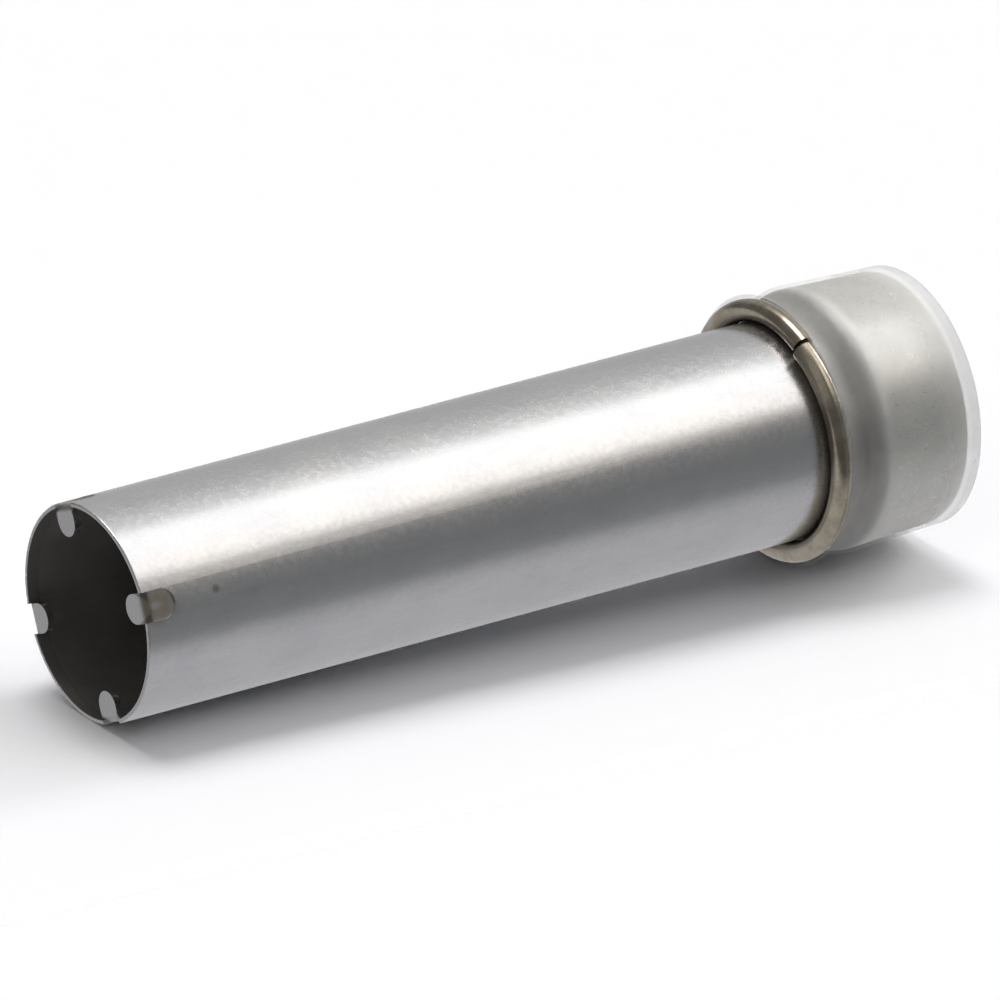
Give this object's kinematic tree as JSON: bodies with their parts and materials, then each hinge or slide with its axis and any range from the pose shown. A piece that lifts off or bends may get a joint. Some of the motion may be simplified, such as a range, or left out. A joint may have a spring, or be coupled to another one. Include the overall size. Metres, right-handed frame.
{
  "type": "hot air nozzle",
  "caption": "Steel hot air barrel with lugs folded in at its open mouth, a split wire retaining ring and a thin translucent sleeve over its belled rear end.",
  "frame": {"origin": "centre of the rear end, in the plane of the sleeve's rear rim", "axes": "+Z along the barrel from the rear end to the mouth; +X and +Y each run through a mouth lug"},
  "size_m": [0.0272, 0.0272, 0.096],
  "materials": {
    "steel": "satin, tinted brown by heat at the pressed flats",
    "wire": "dull, tinted bronze",
    "sleeve": "milky, translucent, satin"
  },
  "bodies": {
    "root": {"barrel": "steel", "retaining_ring": "wire", "sleeve": "sleeve"}
  },
  "joints": []
}
